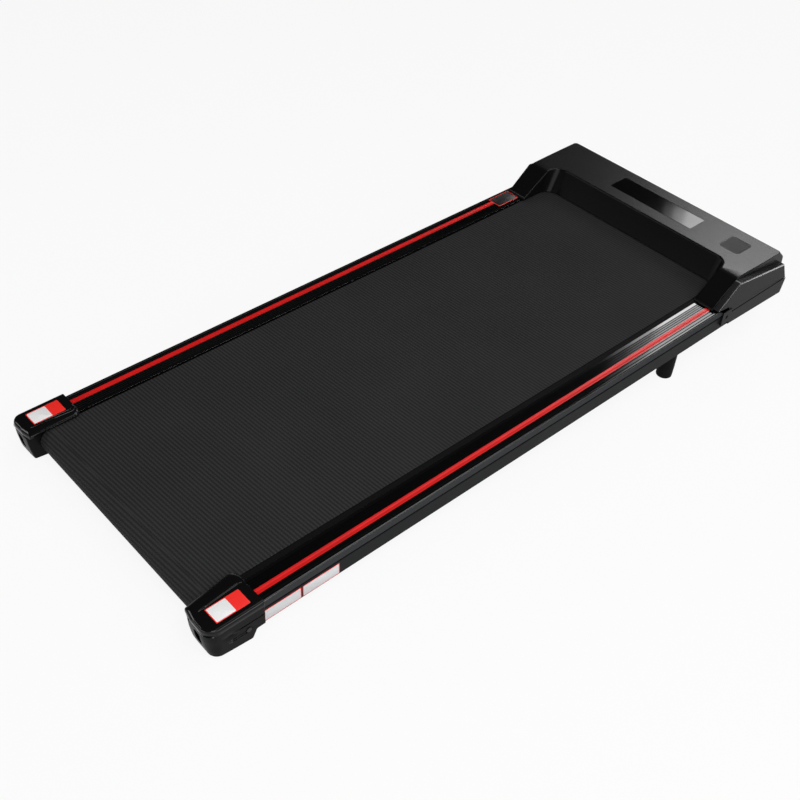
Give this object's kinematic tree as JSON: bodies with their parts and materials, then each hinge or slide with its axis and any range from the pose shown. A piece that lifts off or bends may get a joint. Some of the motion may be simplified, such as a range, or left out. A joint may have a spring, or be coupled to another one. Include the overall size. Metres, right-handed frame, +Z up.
{
  "type": "walking pad",
  "caption": "Flat motorised walking pad with a belt between ribbed side rails, a low front hood with a display lens, rear end caps and short round feet.",
  "frame": {"origin": "on the floor under the middle of the pad's box", "axes": "+X towards the hood, +Y to the walker's left, +Z up"},
  "size_m": [1.2396, 0.508, 0.1458],
  "materials": {
    "frame_paint": "satin powder coat",
    "zinc_steel": "zinc plated",
    "roller_steel": "turned steel tube",
    "deck_wood": "waxed fibreboard",
    "soft_rubber": "matt moulded rubber",
    "belt_weave": "fine diamond-textured belt face",
    "pulley_metal": "turned",
    "motor_can": "satin lacquer",
    "moulded_black": "moulded, lightly grained",
    "circuit_green": "solder mask",
    "heatsink_metal": "extruded",
    "capacitor_sleeve": "shrink sleeve",
    "hood_charcoal": "satin, very fine grain",
    "hood_flank": "satin",
    "lens_black": "polished",
    "grille_grey": "fine mesh",
    "contact_brass": "bright",
    "rocker_red": "translucent moulding",
    "rail_black": "satin, ribbed lengthwise",
    "stripe_red": "semi-gloss inlay",
    "cap_gloss": "gloss moulding"
  },
  "bodies": {
    "frame": {"left_side_member": "frame_paint", "right_side_member": "frame_paint", "cross_members": "frame_paint", "rear_axle_brackets": "frame_paint", "motor_tray": "frame_paint", "front_axle_plates": "frame_paint", "axle_plate_screws": "zinc_steel", "deck_board": "deck_wood", "deck_cushions": "soft_rubber", "deck_screws": "zinc_steel", "walking_belt": "belt_weave", "front_axle": "zinc_steel", "motor_body": "motor_can", "motor_cradle": "frame_paint", "motor_straps": "zinc_steel", "strap_bolts": "zinc_steel", "drive_belt": "soft_rubber", "controller_board": "circuit_green", "board_standoffs": "moulded_black", "controller_heatsink": "heatsink_metal", "controller_capacitors": "capacitor_sleeve", "hood_cover": "hood_charcoal", "display_lens": "lens_black", "display_board": "circuit_green", "speaker_grille": "grille_grey", "speaker": "moulded_black", "left_side_cover": "hood_flank", "right_side_cover": "hood_flank", "belly_pan": "hood_flank", "hood_screws": "zinc_steel", "side_clips": "moulded_black", "power_inlet": "moulded_black", "inlet_pins": "contact_brass", "power_switch_housing": "moulded_black", "left_foot_rail": "rail_black", "right_foot_rail": "rail_black", "left_rail_stripe": "stripe_red", "right_rail_stripe": "stripe_red", "left_rear_cap": "cap_gloss", "right_rear_cap": "cap_gloss", "cap_screws": "zinc_steel", "rear_pads": "soft_rubber", "front_feet": "soft_rubber", "foot_studs": "zinc_steel", "wheel_axles": "zinc_steel"},
    "front_roller": {"front_roller_tube": "roller_steel", "front_roller_bearings": "zinc_steel", "drive_pulley": "pulley_metal"},
    "rear_axle": {"rear_axle": "zinc_steel"},
    "rear_roller": {"rear_roller_tube": "roller_steel", "rear_roller_bearings": "zinc_steel"},
    "motor_rotor": {"motor_shaft": "zinc_steel", "motor_pulley": "pulley_metal", "motor_fan": "moulded_black"},
    "left_tension_bolt": {"left_tension_bolt": "zinc_steel"},
    "right_tension_bolt": {"right_tension_bolt": "zinc_steel"},
    "power_rocker": {"power_rocker": "rocker_red"},
    "left_transport_wheel": {"left_transport_wheel": "moulded_black"},
    "right_transport_wheel": {"right_transport_wheel": "moulded_black"}
  },
  "joints": [
    {"name": "front_roller_spin", "type": "hinge", "parent": "frame", "child": "front_roller", "pos_m": [0.50233, 0, 0.07667], "axis": [0, 1, 0], "continuous": true},
    {"name": "rear_axle_slide", "type": "slide", "parent": "frame", "child": "rear_axle", "axis": [0.9992, 0, 0.0412], "range_m": [0, 0.008]},
    {"name": "rear_roller_spin", "type": "hinge", "parent": "rear_axle", "child": "rear_roller", "pos_m": [-0.57475, 0, 0.03224], "axis": [0, 1, 0], "continuous": true},
    {"name": "motor_spin", "type": "hinge", "parent": "frame", "child": "motor_rotor", "pos_m": [0.56326, 0, 0.1041], "axis": [0, 1, 0], "continuous": true},
    {"name": "power_rocker_tip", "type": "hinge", "parent": "frame", "child": "power_rocker", "pos_m": [0.61301, -0.095, 0.07463], "axis": [-0.0412, 0, 0.9992], "range_deg": [0, 20]},
    {"name": "left_tension_turn", "type": "hinge", "parent": "frame", "child": "left_tension_bolt", "pos_m": [-0.60472, 0.2315, 0.031], "axis": [0.9992, 0, 0.0412], "range_deg": [-2880, 0]},
    {"name": "right_tension_turn", "type": "hinge", "parent": "frame", "child": "right_tension_bolt", "pos_m": [-0.60472, -0.2315, 0.031], "axis": [0.9992, 0, 0.0412], "range_deg": [-2880, 0]},
    {"name": "left_wheel_spin", "type": "hinge", "parent": "frame", "child": "left_transport_wheel", "pos_m": [0.58597, 0.206, 0.063], "axis": [0, 1, 0], "continuous": true},
    {"name": "right_wheel_spin", "type": "hinge", "parent": "frame", "child": "right_transport_wheel", "pos_m": [0.58597, -0.206, 0.063], "axis": [0, 1, 0], "continuous": true}
  ],
  "couplings": [
    {"joint": "rear_roller_spin", "follows": "front_roller_spin", "ratio": 1},
    {"joint": "motor_spin", "follows": "front_roller_spin", "ratio": 2.4667},
    {"joint": "left_tension_turn", "follows": "rear_axle_slide", "rad_per_m": -6283.2},
    {"joint": "right_tension_turn", "follows": "rear_axle_slide", "rad_per_m": -6283.2}
  ]
}
